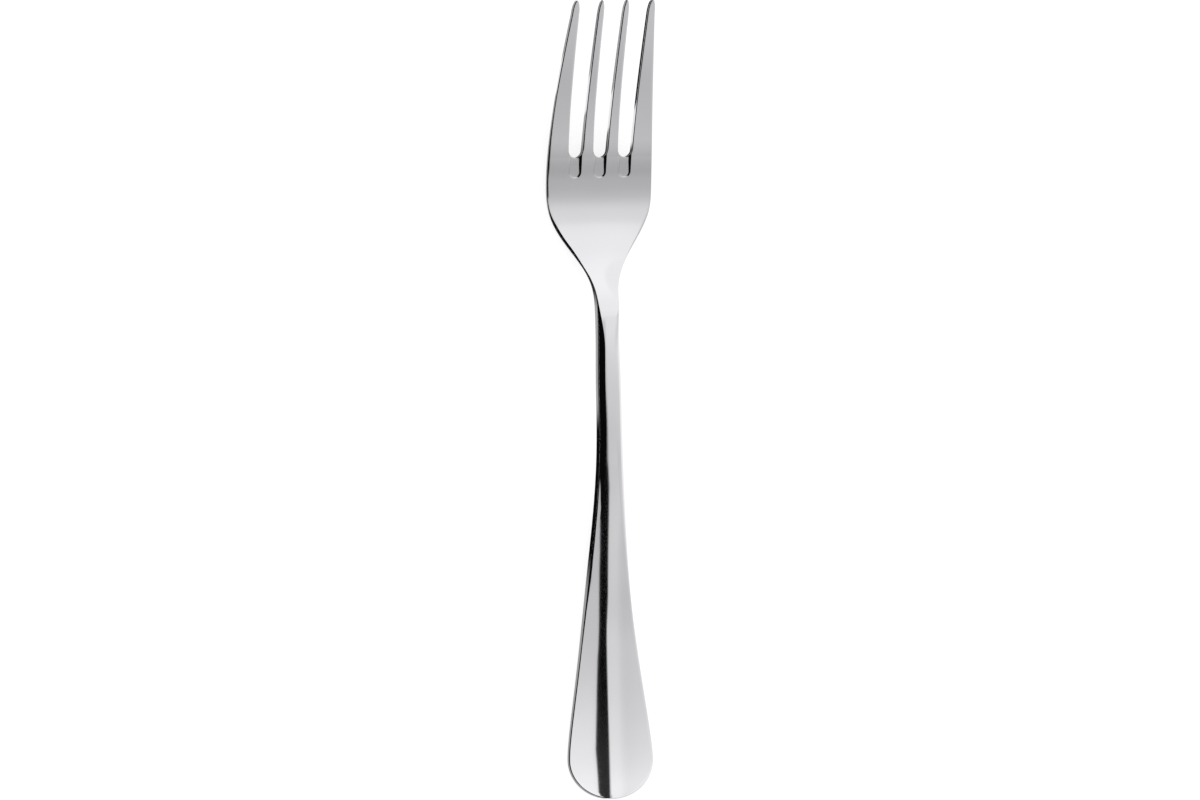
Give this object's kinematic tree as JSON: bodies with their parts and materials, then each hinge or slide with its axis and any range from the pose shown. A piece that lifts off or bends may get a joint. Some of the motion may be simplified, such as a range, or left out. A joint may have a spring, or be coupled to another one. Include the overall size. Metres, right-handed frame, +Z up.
{
  "type": "pastry fork",
  "caption": "Polished steel pastry fork with tapered, upswept tines, a slim arched stem and a broad round-ended handle with a soft central crest.",
  "frame": {"origin": "under the middle of the fork's length and width, on the surface that it lies on", "axes": "+Y from the end of the handle to the tips of the tines, +Z up out of the fork's front, +X to the right of someone who looks at the front with the tips up"},
  "size_m": [0.0204, 0.15, 0.0166],
  "materials": {
    "polished_steel": "mirror-polished stainless steel"
  },
  "bodies": {
    "root": {"handle": "polished_steel", "stem": "polished_steel", "neck": "polished_steel", "palm": "polished_steel", "tine_1": "polished_steel", "tine_2": "polished_steel", "tine_3": "polished_steel", "tine_4": "polished_steel"}
  },
  "joints": []
}
